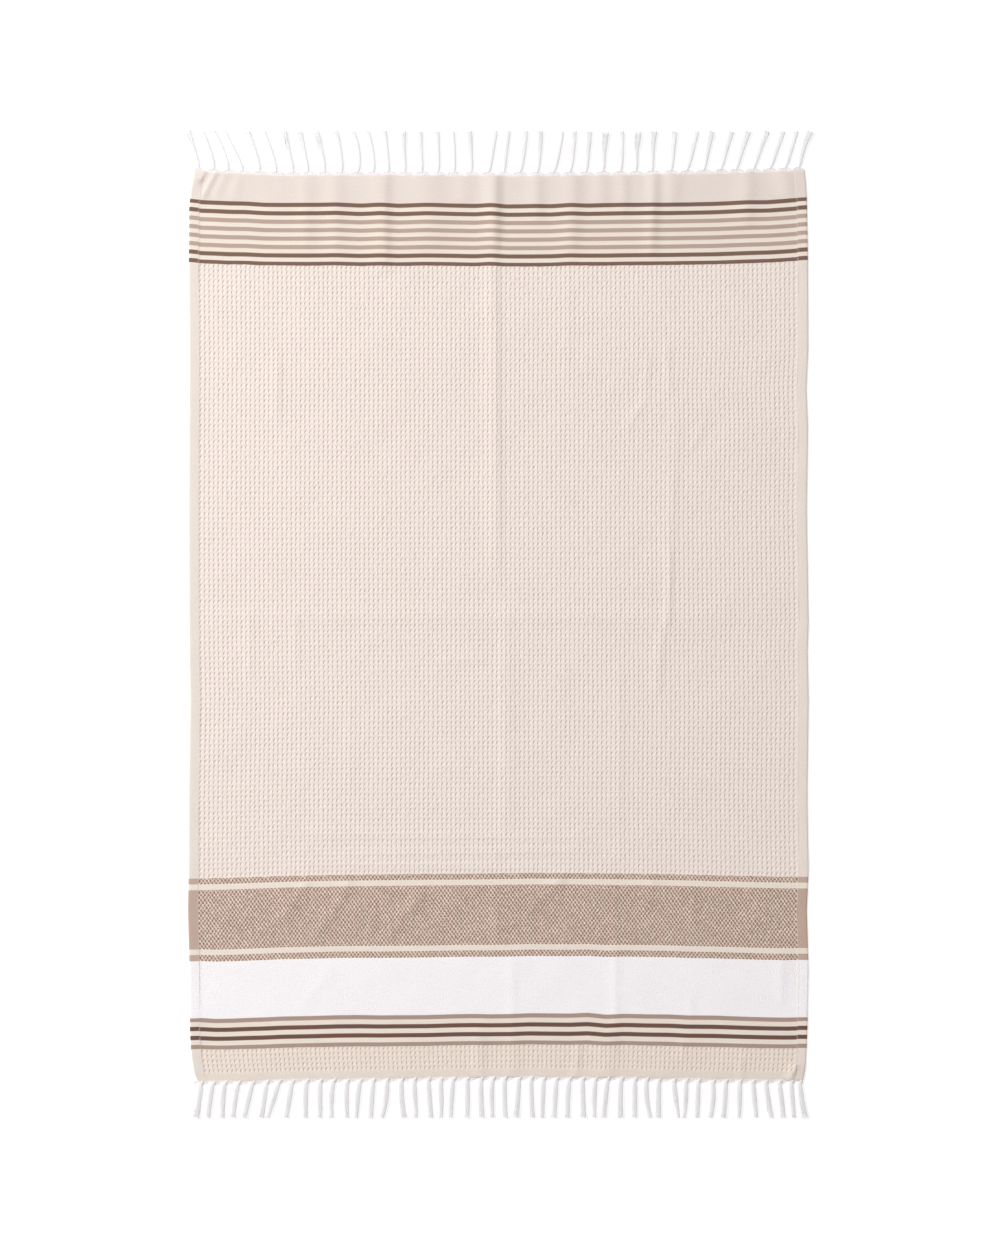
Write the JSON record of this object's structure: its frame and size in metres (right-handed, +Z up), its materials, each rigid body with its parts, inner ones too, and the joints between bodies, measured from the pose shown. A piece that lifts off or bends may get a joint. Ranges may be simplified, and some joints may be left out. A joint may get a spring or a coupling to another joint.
{
  "type": "hammam towel",
  "caption": "Flat woven bath towel with a waffle field, striped ends, stitched side hems and a knotted fringe at each end.",
  "frame": {"origin": "on the surface that the towel lies on, under the middle of the whole towel with its fringes", "axes": "+X across the towel from its left hem to its right hem, +Y along it towards the end with eight stripes, +Z up out of the surface"},
  "size_m": [1.0164, 1.597, 0.0048],
  "materials": {
    "cloth": "matt woven cotton in beige and cream with dark brown and taupe stripes",
    "yarn": "matt white cotton yarn"
  },
  "bodies": {
    "root": {"cloth": "cloth", "fringe_top": "yarn", "fringe_bottom": "yarn"}
  },
  "joints": []
}
